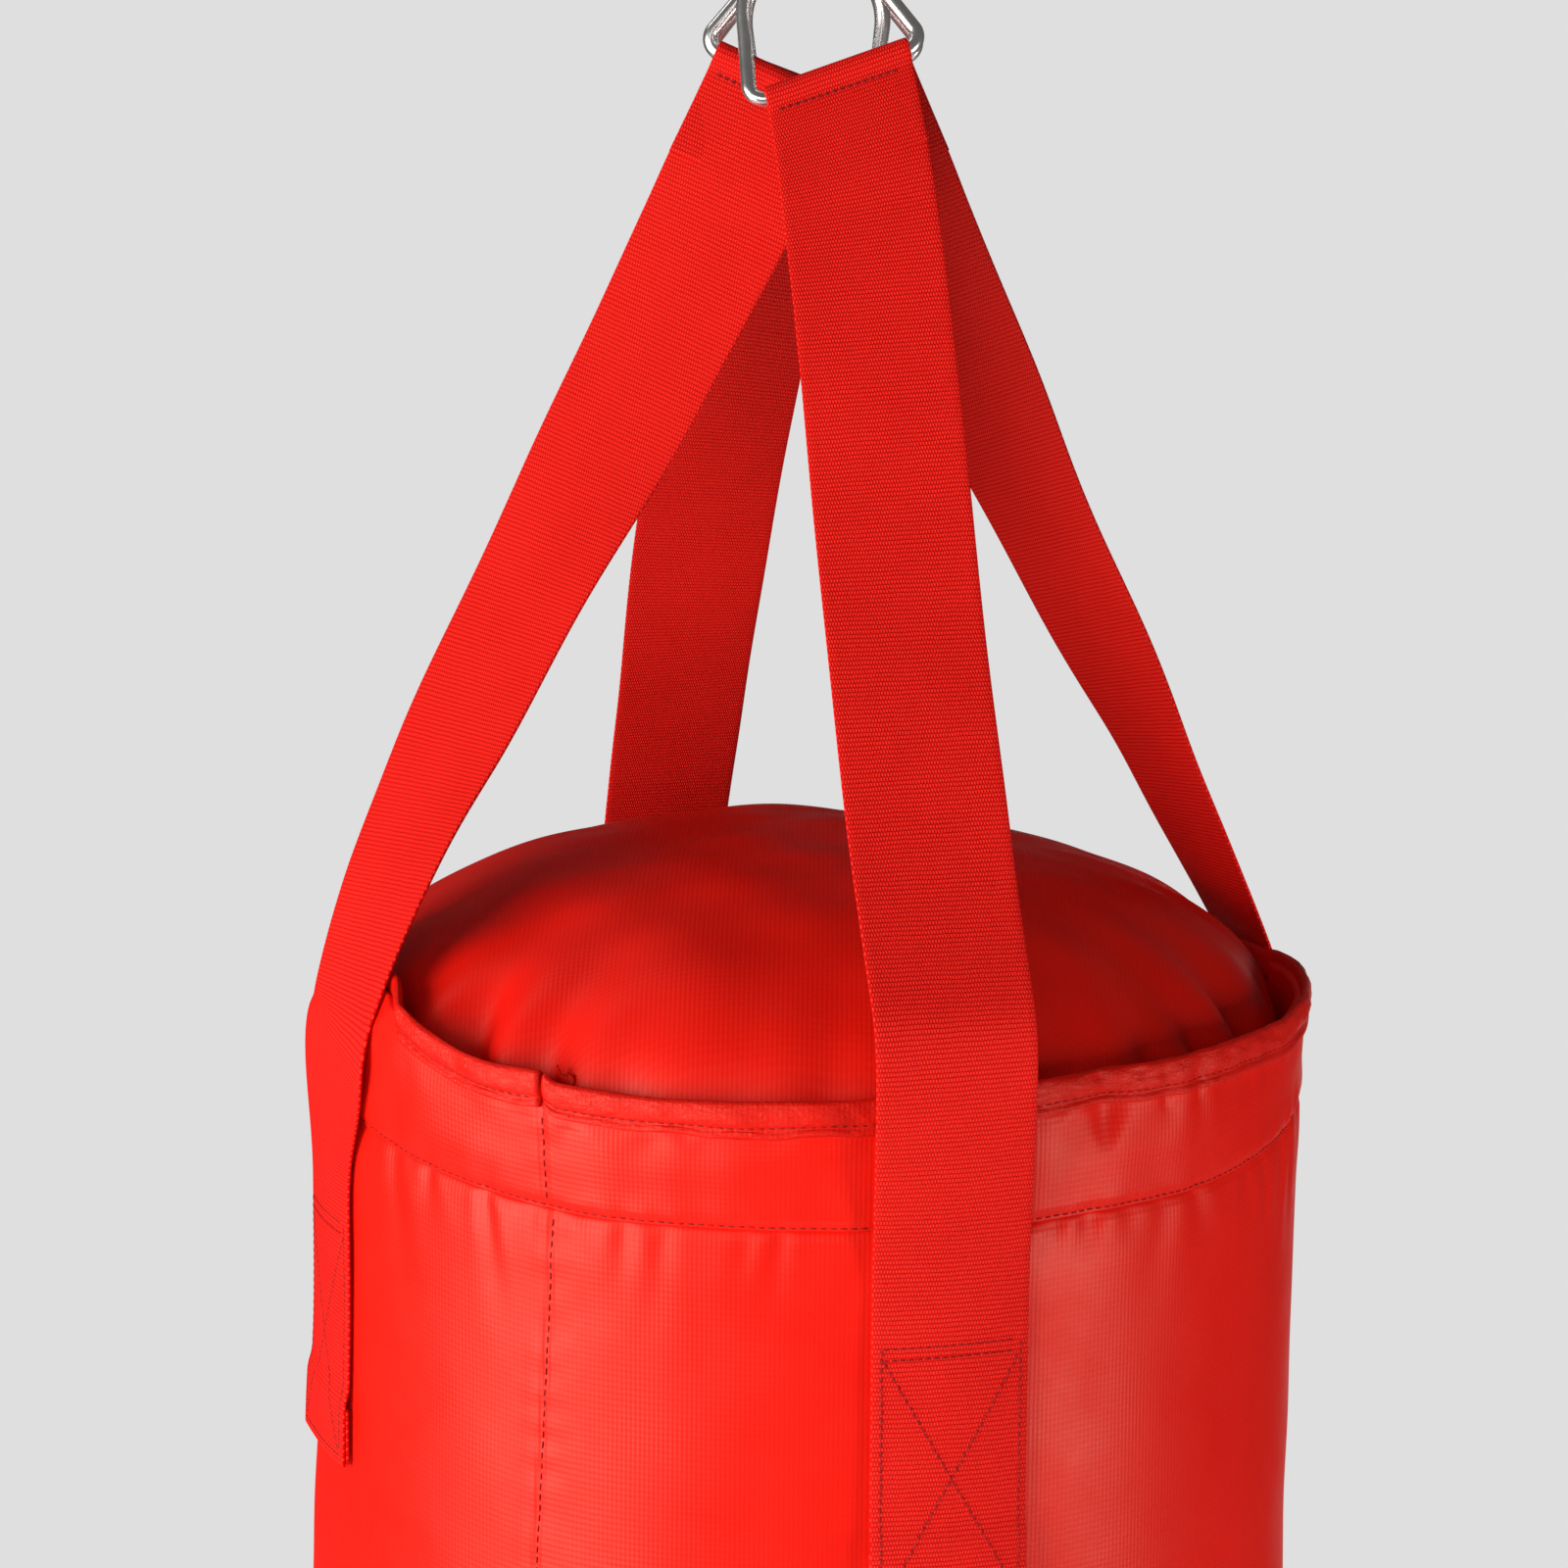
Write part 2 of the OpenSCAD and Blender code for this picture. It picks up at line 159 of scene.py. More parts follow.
# ---------------------------------------------------------------- node helpers
class Nodes:
    """A material's node tree with short calls for the nodes used here."""

    def __init__(self, name):
        self.mat = bpy.data.materials.new(name)
        self.mat.use_nodes = True
        self.tree = self.mat.node_tree
        self.shader = self.tree.nodes["Principled BSDF"]

    def new(self, kind, **values):
        node = self.tree.nodes.new(kind)
        for key, value in values.items():
            setattr(node, key, value)
        return node

    def join(self, a, b):
        self.tree.links.new(a, b)

    def feed(self, socket, value):
        if hasattr(value, "is_output"):
            self.join(value, socket)
        else:
            socket.default_value = value

    def math(self, op, a, b=0.0):
        node = self.new("ShaderNodeMath", operation=op)
        self.feed(node.inputs[0], a)
        self.feed(node.inputs[1], b)
        return node.outputs[0]

    def around(self, value, middle, scale):
        """value - middle, times scale."""
        return self.math("MULTIPLY", self.math("SUBTRACT", value, middle), scale)

    def uv(self):
        node = self.new("ShaderNodeUVMap", uv_map="map")
        split = self.new("ShaderNodeSeparateXYZ")
        self.join(node.outputs[0], split.inputs[0])
        return split.outputs[0], split.outputs[1]

    def noise(self, scale, detail=3.0, rough=0.55, vector=None, distort=0.0):
        node = self.new("ShaderNodeTexNoise")
        node.inputs["Scale"].default_value = scale
        node.inputs["Detail"].default_value = detail
        node.inputs["Roughness"].default_value = rough
        node.inputs["Distortion"].default_value = distort
        if vector is None:
            coord = self.new("ShaderNodeTexCoord")
            vector = coord.outputs["Object"]
        self.join(vector, node.inputs["Vector"])
        return node.outputs["Fac"]

    def stretch(self, x, y, z):
        coord = self.new("ShaderNodeTexCoord")
        node = self.new("ShaderNodeMapping")
        node.inputs["Scale"].default_value = (x, y, z)
        self.join(coord.outputs["Object"], node.inputs["Vector"])
        return node.outputs[0]

    def spread(self, value, low, high, to_low, to_high):
        node = self.new("ShaderNodeMapRange")
        self.feed(node.inputs["Value"], value)
        for key, v in (("From Min", low), ("From Max", high), ("To Min", to_low), ("To Max", to_high)):
            node.inputs[key].default_value = v
        return node.outputs["Result"]

    def ramp(self, value, stops):
        node = self.new("ShaderNodeValToRGB")
        self.feed(node.inputs["Fac"], value)
        marks = node.color_ramp.elements
        while len(marks) < len(stops):
            marks.new(0.5)
        for mark, (place, colour) in zip(marks, stops, strict=True):
            mark.position = place
            mark.color = (*colour, 1)
        return node.outputs["Color"]

    def bump(self, height, distance, strength=1.0, under=None):
        node = self.new("ShaderNodeBump")
        node.inputs["Strength"].default_value = strength
        node.inputs["Distance"].default_value = distance
        self.join(height, node.inputs["Height"])
        if under is not None:
            self.join(under, node.inputs["Normal"])
        return node.outputs["Normal"]

    def finish(self, colour, rough, normal, **plain):
        for key, value in (("Base Color", colour), ("Roughness", rough), ("Normal", normal)):
            self.feed(self.shader.inputs[key], value)
        for key, value in plain.items():
            self.shader.inputs[key.replace("_", " ")].default_value = value
        return self.mat


def coated_cloth(name, tone=1.0, rough=0.44, creased=0.0):
    """Satin coated cloth: the weave under the coat shows as fine slanting diamonds."""
    n = Nodes(name)
    u, v = n.uv()
    diamond, slant = 0.0030, 0.8
    waves = []
    for op in ("ADD", "SUBTRACT"):
        across = n.math(op, u, n.math("MULTIPLY", v, slant))
        waves.append(n.math("SINE", n.math("MULTIPLY", across, 2 * math.pi / diamond)))
    weave = n.math("MULTIPLY", *waves)
    cloud = n.noise(9.0, 4.0, 0.6)
    grain = n.noise(900.0, 2.0, 0.5)
    blotch = n.noise(42.0, 3.0, 0.6)
    base = (0.90 * tone, 0.0085 * tone, 0.0028 * tone)
    deep = (0.84 * tone, 0.0065 * tone, 0.0020 * tone)
    colour = n.ramp(cloud, [(0.3, deep), (0.7, base)])
    patchy = n.spread(blotch, 0.3, 0.7, rough - 0.05, rough + 0.06)
    roughness = n.math("ADD", patchy, n.math("MULTIPLY", weave, 0.035))
    normal = n.bump(weave, 0.00006, 0.55)
    normal = n.bump(grain, 0.00004, 0.35, normal)
    if creased:
        fine = n.noise(260.0, 5.0, 0.65, n.stretch(1, 1, 2.6), 0.6)
        normal = n.bump(fine, 0.0011, creased, normal)
    return n.finish(colour, roughness, normal, Specular_IOR_Level=0.28, Specular_Tint=(1.0, 0.86, 0.70, 1))


def webbing(name, painted_shade):
    """Plain weave: rows 1.47 mm apart, grains 0.92 mm apart, each row set off by half a grain.

    The last argument lists painted shade: how much of the webbing's colour is kept at stations along its length,
    in metres from the ring, standing in for the shade that falls on a strap.
    """
    n = Nodes(name)
    u, v = n.uv()
    row_pitch, grain_pitch = 0.00147, 0.00092
    wander = n.noise(120.0, 2.0, 0.5)
    rows = n.math("DIVIDE", n.math("ADD", v, n.around(wander, 0.5, 0.0006)), row_pitch)
    across = n.math("ADD", n.math("DIVIDE", u, grain_pitch), n.math("MULTIPLY", n.math("FLOOR", rows), 0.5))
    grains = n.math("COSINE", n.math("MULTIPLY", across, 2 * math.pi))
    across_bump = n.math("ADD", n.math("MULTIPLY", grains, 0.5), 0.5)
    along_bump = n.math("ABSOLUTE", n.math("SINE", n.math("MULTIPLY", rows, math.pi)))
    along_bump = n.math("POWER", along_bump, 0.55)
    height = n.math("MULTIPLY", along_bump, n.math("ADD", n.math("MULTIPLY", across_bump, 0.78), 0.22))
    cloud = n.noise(28.0, 3.0, 0.6)
    fuzz = n.noise(2500.0, 2.0, 0.6)
    shade = n.math("ADD", height, n.around(fuzz, 0.5, 0.25))
    shade = n.math("ADD", shade, n.around(cloud, 0.5, 0.22))
    # the weave's height also sets the colour: the gaps between grains are darker as painted shade, and the crests
    # are paler as painted highlight; cloud and fuzz add the webbing's own uneven tone
    gap, yarn, crest = (0.50, 0.0008, 0.0005), (0.95, 0.0060, 0.0034), (1.0, 0.030, 0.020)
    colour = n.ramp(shade, [(0.10, gap), (0.42, yarn), (0.88, crest)])
    # painted shade: the weave's colour is darkened along the strap by the listed shares
    light = n.ramp(v, [(at, (share, share, share)) for at, share in painted_shade])
    colour_with_painted_shade = n.new("ShaderNodeVectorMath", operation="MULTIPLY")
    n.join(colour, colour_with_painted_shade.inputs[0])
    n.join(light, colour_with_painted_shade.inputs[1])
    roughness = n.spread(height, 0, 1, 0.75, 0.55)
    return n.finish(colour_with_painted_shade.outputs[0], roughness, n.bump(height, 0.00035, 0.8),
                    Specular_IOR_Level=0.18, Specular_Tint=(1.0, 0.7, 0.6, 1))


def thread(name):
    """Twisted sewing thread, darker than the cloth."""
    n = Nodes(name)
    twist = n.noise(1800.0, 2.0, 0.6, n.stretch(1, 1, 0.4))
    colour = n.ramp(twist, [(0.3, (0.24, 0.003, 0.003)), (0.7, (0.46, 0.007, 0.006))])
    return n.finish(colour, 0.62, n.bump(twist, 0.0002, 0.6), Specular_IOR_Level=0.3)


def steel(name, tone, rough, brushed=0.0):
    """Plated steel with faint scratches; brushed adds to them."""
    n = Nodes(name)
    cloud = n.noise(60.0, 3.0, 0.6)
    scratch = n.noise(700.0, 3.0, 0.7, n.stretch(1, 1, 0.06))
    colour = n.ramp(cloud, [(0.3, (tone * 0.9, tone * 0.89, tone * 0.88)), (0.7, (tone, tone, tone))])
    patchy = n.spread(cloud, 0.3, 0.7, rough - 0.03, rough + 0.05)
    roughness = n.math("ADD", patchy, n.math("MULTIPLY", scratch, 0.06 + brushed))
    # a mirror shows a bright studio, which the dim world here lacks, so the steel glows a little instead
    return n.finish(colour, roughness, n.bump(scratch, 0.0003, 0.12 + brushed), Metallic=1.0,
                    Emission_Color=(1.0, 0.99, 0.97, 1), Emission_Strength=0.05)


# ---------------------------------------------------------------- mesh helpers
def wrap(a):
    """The angle brought into -pi to pi."""
    return (a + math.pi) % (2 * math.pi) - math.pi


def bell(x, width):
    """1 at x = 0, falling smoothly to either side."""
    return np.exp(-((x / width) ** 2))


def hill(phi, centre, width):
    """A bell round the bag: 1 at the centre bearing. centre and width are in degrees, phi in radians."""
    return np.exp(-((wrap(phi - math.radians(centre)) / math.radians(width)) ** 2))


def smooth(x, a, b):
    """0 before a, 1 after b, and a smooth step between."""
    t = np.clip((x - a) / (b - a), 0, 1)
    return t * t * (3 - 2 * t)


def ripple(phi, seed, low, high, count=7):
    """A smooth periodic wave in phi, about -1 to 1."""
    rng = np.random.default_rng(seed)
    total = 0
    for _ in range(count):
        total = total + rng.uniform(0.5, 1) * np.cos(rng.integers(low, high + 1) * phi + rng.uniform(0, 7))
    return total / (0.75 * count**0.5 * 1.4)


def crumple(x, y, seed, size, count=16):
    """A smooth wandering field over a flat patch, about -1 to 1."""
    rng = np.random.default_rng(seed)
    total = 0
    for _ in range(count):
        a, k = rng.uniform(0, 2 * math.pi), 2 * math.pi / (size * rng.uniform(0.6, 1.8))
        total = total + np.cos(k * (x * math.cos(a) + y * math.sin(a)) + rng.uniform(0, 7))
    return total / count**0.5


def place(phi, r, z):
    """Points from bearing, radius and height."""
    phi, r, z = np.broadcast_arrays(phi, r, z)
    return np.stack([r * np.sin(phi), -r * np.cos(phi), z], -1)


def shown(mesh, mat):
    """A smooth-shaded object of this mesh, in the scene."""
    mesh.polygons.foreach_set("use_smooth", np.ones(len(mesh.polygons), dtype=bool))
    mesh.validate()
    mesh.update()
    mesh.materials.append(mat)
    obj = bpy.data.objects.new(mesh.name, mesh)
    bpy.context.collection.objects.link(obj)
    return obj


def grid(name, points, uv, mat, round_rows=False, round_cols=False, caps=False):
    """A mesh from points[row, col], joined round where asked."""
    rows, cols = points.shape[:2]
    index = np.arange(rows * cols).reshape(rows, cols)
    if round_rows:
        index = np.vstack([index, index[:1]])
    if round_cols:
        index = np.hstack([index, index[:, :1]])
    quads = np.stack([index[:-1, :-1], index[:-1, 1:], index[1:, 1:], index[1:, :-1]], -1).reshape(-1, 4)
    mesh = bpy.data.meshes.new(name)
    faces = quads.tolist()
    if caps:
        faces += [index[0, :cols][::-1].tolist(), index[rows - 1, :cols].tolist()]
    mesh.from_pydata(points.reshape(-1, 3).tolist(), [], faces)
    layer = mesh.uv_layers.new(name="map")
    corner = np.empty(len(mesh.loops), dtype=np.int32)
    mesh.loops.foreach_get("vertex_index", corner)
    flat = uv.reshape(-1, 2)[corner].astype(np.float32)
    if round_cols or round_rows:
        # the closing row or column reads on from the last one, not back to the first
        first = flat[np.repeat(np.arange(len(quads)) * 4, 4)]
        for k in (0, 1):
            span = uv[..., k].max() - uv[..., k].min()
            part = flat[: len(quads) * 4, k]
            far = np.abs(part - first[:, k]) > span * 0.5
            part[far] += np.sign(first[far, k] - part[far]) * span
    layer.data.foreach_set("uv", flat.ravel())
    return shown(mesh, mat)


def sample(s, at, points):
    return np.array([np.interp(s, at, points[:, k]) for k in range(3)])


def stitches(name, runs, mat, pitch, long, thick, sink):
    """Small sewn stitches: capsules laid along each run, a (points, outward) pair.

    There is one every pitch, each long, twice thick across and let sink into the cloth.
    """
    sides, rings = 6, 5
    ring_at = np.linspace(0, math.pi, rings)
    around = np.arange(sides) * 2 * math.pi / sides
    local = np.array([(-math.cos(a) * 0.5, math.sin(a) * math.cos(b), math.sin(a) * math.sin(b))
                      for a in ring_at for b in around])
    faces = []
    for i in range(rings - 1):
        for j in range(sides):
            here, beside = i * sides + j, i * sides + (j + 1) % sides
            faces.append((here, beside, beside + sides, here + sides))
    verts, quads = [], []
    for points, outward in runs:
        step = np.linalg.norm(np.diff(points, axis=0), axis=1)
        at = np.concatenate([[0], np.cumsum(step)])
        for s in np.arange(pitch / 2, at[-1] - pitch / 2, pitch):
            a, b = (sample(s + d, at, points) for d in (-long / 2, long / 2))
            out = sample(s, at, outward)
            way = b - a
            size = np.linalg.norm(way)
            way /= size
            out -= way * (out @ way)
            out /= np.linalg.norm(out)
            side = np.cross(way, out)
            middle = (a + b) / 2 + out * (thick * 0.4 - sink)
            quads += [tuple(v + len(verts) for v in f) for f in faces]
            verts += [tuple(middle + way * p[0] * size + side * p[1] * thick + out * p[2] * thick)
                      for p in local]
    mesh = bpy.data.meshes.new(name)
    mesh.from_pydata(verts, [], quads)
    return shown(mesh, mat)


COVER = coated_cloth("cover_cloth")
LID = coated_cloth("lid_cloth", 0.96, 0.47)
BINDING = coated_cloth("binding_cloth", 0.86, 0.40, creased=0.55)
# the same webbing in four copies; the left, back and right are darker by painted shade: the left all along its
# length, the back and right most near their rings, where the straps shade one another
WEBBING = {
    "front": webbing("webbing", [(0.0, 1.0), (1.0, 1.0)]),
    "left": webbing("webbing_left", [(0.0, 0.93), (1.0, 0.93)]),
    "back": webbing("webbing_back", [(0.12, 0.66), (0.20, 0.75), (0.36, 0.80)]),
    "right": webbing("webbing_right", [(0.12, 0.50), (0.20, 0.62), (0.28, 0.75), (0.36, 1.0)]),
}
THREAD = thread("thread")
RING_STEEL = steel("ring_steel", 0.84, 0.20)
HOOK_STEEL = steel("hook_steel", 0.78, 0.22)
SWIVEL_STEEL = steel("swivel_steel", 0.60, 0.28, brushed=0.12)


# ---------------------------------------------------------------- the bag's cover
def unit(v):
    return v / np.linalg.norm(v, axis=-1, keepdims=True)


def ring_bar(name):
    """The middle of a D-ring's bar and the way along it, from the ring's joint."""
    joint = PIVOT["ring_rock_" + name]
    return np.array(joint["pos_m"], float), unit(np.array(joint["axis"], float))


# Each strap's middle line, in metres: near is out from the bag's axis, round it and up from the rim, and far
# and rim are out and up. It leaves the bar towards near, comes in past far, meets the cover at rim, carries on
# for carry, and lies on the wall from settle to drop, both down from the rim. box is where its sewn box starts.
# power and twist say how its width turns from the bar's way to the wall's, and turn (degrees) how far its
# upper part stands round the bag from where it is sewn. lift holds one corner of the sewn end off the wall.
STRAP_SHAPE = {
    "front": dict(near=(0.079, 0.004, 0.230), far=(0.103, 0.139), rim=(0.180, 0.024), carry=0.016,
                  settle=0.064, box=0.078, drop=0.162, power=1.45, twist=0.98, lift=0.0, turn=-1.0),
    "left": dict(near=(0.106, -0.030, 0.100), far=(0.144, 0.086), rim=(0.1722, 0.003), carry=0.014,
                 settle=0.063, box=0.066, drop=0.148, power=0.91, twist=1.0, lift=0.0012, turn=8.0),
    "back": dict(near=(0.048, 0.023, 0.174), far=(0.137, 0.123), rim=(0.178, 0.030), carry=0.016,
                 settle=0.066, box=0.074, drop=0.158, power=0.91, twist=1.05, lift=0.001, turn=-1.0),
    "right": dict(near=(0.058, 0.024, 0.226), far=(0.112, 0.112), rim=(0.1735, -0.003), carry=0.003,
                  settle=0.052, box=0.070, drop=0.154, power=0.67, twist=1.07, lift=0.002, turn=-1.0),
}
LOOP_SEWN = 0.0069  # from the bar to the stitches that close the loop
LOOP_TAIL = 0.036  # webbing folded back behind the strap at its top
TAIL_STATIONS, WRAP_STATIONS = 24, 13


def curve_through(a, b, c, d, count):
    """A Bezier curve from a to d that is drawn towards b and c."""
    t = np.linspace(0, 1, count)[:, None]
    return a * (1 - t) ** 3 + 3 * b * t * (1 - t) ** 2 + 3 * c * t * t * (1 - t) + d * t**3


def ways_at(bearing):
    """The ways out from the bag and round it, at a bearing."""
    sin, cos = math.sin(bearing), math.cos(bearing)
    return np.array([sin, -cos, 0.0]), np.array([cos, sin, 0.0])


def strap_path(name):
    """Stations from the folded tail, round the bar and down to the sewn end.

    Each is its place, the way across, the way its face looks, how far it lies round the bag (0 to 1),
    and the way out from the bag that it bends round.
    """
    shape = STRAP_SHAPE[name]
    bearing = math.radians(STRAP_AT[name] + shape["turn"])
    out, tangent = ways_at(bearing)
    up = np.array([0, 0, 1.0])
    top, bar = ring_bar(name)
    if bar @ tangent < 0:
        bar = -bar
    near = out * shape["near"][0] + tangent * shape["near"][1] + up * (RIM + shape["near"][2])
    far = out * shape["far"][0] + up * (RIM + shape["far"][1])
    rim = out * shape["rim"][0] + up * (RIM + shape["rim"][1])
    line = unit(near - top)
    bar_out = unit(np.cross(line, bar))
    bar_down = unit(line - bar * (line @ bar))
    # how far the webbing's middle stands off the bar's, and off the loop's where it is sewn together
    gap = STRAP_THICK / 2 + RING_WIRE + 0.0002
    pair = STRAP_THICK / 2 + 0.00010

    def apart(x):
        return pair + (gap - pair) * (1 - smooth(np.array(x), 0.0, LOOP_SEWN))

    stations = [(top + line * x - bar_out * apart(x), bar, -bar_out, 0, bar_out)
                for x in np.linspace(LOOP_TAIL, 0.0, TAIL_STATIONS)]
    for turn in np.linspace(0, math.pi, WRAP_STATIONS + 2)[1:-1]:
        way = -bar_out * math.cos(turn) - bar_down * math.sin(turn)
        stations.append((top + way * gap, bar, way, 0, bar_out))

    def rest(down):
        """The strap's radius where it lies on the cover, at a depth below the rim."""
        on_wall = np.array(max(down - COLLAR, 0.0))
        return R + STRAP_THICK / 2 + OFF_COVER + bulge(np.array(bearing), on_wall)

    sewn_out, sewn_way = ways_at(math.radians(STRAP_AT[name]))
    settled = sewn_out * rest(shape["settle"]) + up * (RIM - shape["settle"])
    free = curve_through(top, near, far, rim, 170)
    carried = rim + unit(rim - far) * shape["carry"]
    onto = curve_through(rim, carried, settled + up * 0.022, settled, 24)[1:]
    flat = []
    for down in np.linspace(shape["settle"], shape["drop"], 40)[1:]:
        doubled = STRAP_THICK * smooth(np.array(down), shape["drop"] - 0.026, shape["drop"] - 0.019)
        flat.append(sewn_out * (rest(down) + doubled) + up * (RIM - down))
    middle = np.concatenate([free, onto, flat])
    along = np.concatenate([[0], np.cumsum(np.linalg.norm(np.diff(middle, axis=0), axis=1))])
    # stations every 2.5 mm, closer at the bar
    even = np.concatenate([np.linspace(0, 0.03, 24), np.arange(0.0325, along[-1], 0.0025), [along[-1]]])
    middle = np.stack([np.interp(even, along, middle[:, k]) for k in range(3)], 1)
    # round the bend at the rim
    soft = middle.copy()
    for _ in range(7):
        soft[25:-12] = 0.25 * soft[24:-13] + 0.5 * soft[25:-12] + 0.25 * soft[26:-11]
    ways = unit(np.gradient(soft, axis=0))
    rim_at = np.interp(-shape["rim"][1], RIM - soft[:, 2], even)
    lain = along[len(free) + len(onto) - 1]
    # on its way down the width turns from the bar's way to the wall's
    full = math.acos(float(np.clip(bar @ tangent, -1, 1)))
    for point, s, way in zip(soft, even, ways, strict=True):
        onto_wall = float(smooth(np.array(s), rim_at, lain))
        share = min(s / rim_at, 1.0) ** shape["power"] * shape["twist"]
        share += (1 - shape["twist"]) * onto_wall
        raw = (bar * math.sin((1 - share) * full) + tangent * math.sin(share * full)) / math.sin(full)
        square = float(smooth(np.array(s), 0.0, 0.08))
        across = unit(unit(raw - way * (raw @ way)) * square + raw * (1 - square))
        across = unit(across * (1 - onto_wall) + sewn_way * onto_wall)
        outward = unit(np.cross(way, across))
        lift = apart(s) * (1 - float(smooth(np.array(s), LOOP_TAIL, 0.055)))
        curve = float(smooth(np.array(s), rim_at - 0.03, lain))
        stations.append((point + outward * lift, across, outward, curve, outward))
    # the end is turned under and runs back up between strap and wall
    point, across, outward = stations[-1][:3]
    fold = STRAP_THICK / 2 + 0.00005
    for turn in np.linspace(0, math.pi, 9)[1:]:
        way = outward * math.cos(turn) - up * math.sin(turn)
        stations.append((point - outward * fold + way * fold, across, way, 1.0, outward))
    for z in np.linspace(0, TURNED_UNDER, 8)[1:]:
        stations.append((point - outward * 2 * fold + up * z, across, -outward, 1.0, outward))
    return stations, shape


def under_strap(phi, width):
    """1 where a strap lies on the collar."""
    return sum(hill(phi, a, width) for a in STRAP_AT.values())


def seam_lift(phi):
    """The side straps pull the collar's lower seam up beside them."""
    pulled = 0.017 * hill(phi, -72, 30) + 0.012 * hill(phi, 97, 32) + 0.003 * hill(phi, 198, 22)
    return pulled + 0.0005 * ripple(phi, 3, 3, 17)


def rim_lift(phi):
    """The left strap pulls the rim up most; right of the hem's lap the rim sags."""
    off = np.degrees(wrap(phi - math.radians(STRAP_AT["left"])))
    past = np.radians(np.clip(np.where(off < 0, -off - 3, off - 13), 0, 200))
    pulled = 0.020 * bell(past, math.radians(12.7)) + 0.0055 * hill(phi, 88, 36) + 0.003 * hill(phi, 198, 22)
    sag = -0.0042 * smooth(np.degrees(wrap(phi)), -27.5, -25.5) * hill(phi, -8, 24)
    return pulled + sag + 0.0007 * ripple(phi, 5, 4, 22)


def folds(seed, count, reach, deep, narrow, zones):
    """Sewn-in folds: (bearing, length, depth, half width, lean) each.

    zones lists where they are stronger: (centre and width in degrees, extra strength) each.
    """
    rng = np.random.default_rng(seed)
    made = []
    for i in range(count):
        a = (i + rng.uniform(-0.42, 0.42)) * 2 * math.pi / count
        strength = 0.55 + sum(extra * hill(a, centre, width) for centre, width, extra in zones)
        length, depth = rng.uniform(*reach), rng.uniform(*deep) * strength
        made.append((a, length, depth, rng.uniform(*narrow), rng.uniform(-0.22, 0.22)))
    return made


WALL_FOLDS = folds(11, 58, (0.010, 0.036), (0.0003, 0.0011), (0.0022, 0.0044),
                   [(52, 34, 0.9), (-38, 12, 0.55), (0, 12, 0.12)])
COLLAR_FOLDS = folds(17, 46, (0.006, 0.016), (0.0002, 0.0008), (0.0025, 0.0055), [(45, 30, 0.7), (-15, 12, 0.4)])
LID_FOLDS = folds(23, 36, (0.066, 0.112), (0.0010, 0.0024), (0.0045, 0.0080),
                  [(50, 24, 1.3), (-34, 9, 1.3), (4, 8, 0.6), (150, 60, 0.5)])
# the few deep gathers of the lid that stand out at the front
LID_FOLDS += [(math.radians(a), reach, deep, half, lean) for a, reach, deep, half, lean in
              ((-38, 0.080, 0.0085, 0.0050, -0.10), (-45, 0.070, 0.0050, 0.0042, 0.12),
               (42, 0.075, 0.0066, 0.0045, 0.10), (56, 0.080, 0.0085, 0.0050, -0.12),
               (64, 0.075, 0.0066, 0.0045, 0.06))]


def fold_depth(made, phi, down, radius=R):
    """How far the folds pull the surface in, at a distance down from their seam; beside each it swells."""
    total = np.zeros(np.broadcast(phi, down).shape)
    for a, reach, deep, half, lean in made:
        off = wrap(phi - a) * radius - lean * down
        half = half * (1 + down / reach * 0.8)
        fading = bell(down, reach)
        total += deep * bell(off, half) * fading * smooth(down, 0.0, 0.003)
        total -= 0.35 * deep * bell(np.abs(off) - 2.0 * half, half) * fading
    return total


def seam_bearing(down):
    """The upright seam wanders a little to the left on its way down."""
    return SEAM_AT + math.radians(0.6) - math.radians(1.9) * np.minimum(down, 0.12) / 0.11


def bulge(phi, down):
    """How far the filling pushes the wall out on the left; above, the strap draws it in."""
    return hill(phi, -82, 32) * (0.0030 * smooth(down, 0.10, 0.20) - 0.0022 * (1 - smooth(down, 0.04, 0.12)))


def laid_straps():
    """For each strap where it passes the cover: heights, middle line, way across, and how far it lies round."""
    found = {}
    for name in STRAP_AT:
        near = [s for s in strap_path(name)[0] if s[3] > 0 or RIM - 0.08 < s[0][2] < RIM + 0.06]
        # without the end that is turned under
        near = [s for s in near if s[2] @ s[4] > 0.9]
        near.sort(key=lambda s: s[0][2])
        places, across, _, lies, _ = (np.array(part) for part in zip(*near, strict=True))
        found[name] = places[:, 2], places, across, lies
    return found


LAID = laid_straps()


def pressed(phi, z, r):
    """Radius r, kept just inside whichever strap passes over the cover at bearing phi and height z."""
    way_x, way_y = np.sin(phi), -np.cos(phi)
    side_slope = 0.22  # how fast the cover may come out again beside a strap
    for name, (heights, middle, across, lies) in LAID.items():
        # where the way out at phi crosses the strap's middle plane, and how far that is from its middle line
        cx, cy = (np.interp(z, heights, middle[:, k]) for k in (0, 1))
        ax, ay = (np.interp(z, heights, across[:, k]) for k in (0, 1))
        turn = way_x * ay - way_y * ax
        turn = np.where(np.abs(turn) < 0.2, 0.2, turn)
        off = np.abs((cx * way_y - cy * way_x) / turn)
        bow = np.interp(z, heights, lies) * np.minimum(off, STRAP_WIDTH / 2) ** 2 / (2 * R)
        past = np.clip(off - STRAP_WIDTH / 2 - OFF_COVER, 0, 1)
        limit = (cx * ay - cy * ax) / turn - STRAP_THICK / 2 - OFF_COVER - bow + side_slope * past
        centre = math.radians(STRAP_AT[name] + STRAP_SHAPE[name]["turn"] / 2)
        close = np.abs(wrap(phi - centre)) < math.radians(26)
        r = np.where(close, np.minimum(r, limit), r)
    return r


def round_cloth(phi):
    """A length along the cloth for crumple, squeezed so that it meets itself at the back."""
    return wrap(phi) * R * np.cos(phi / 2) ** 2


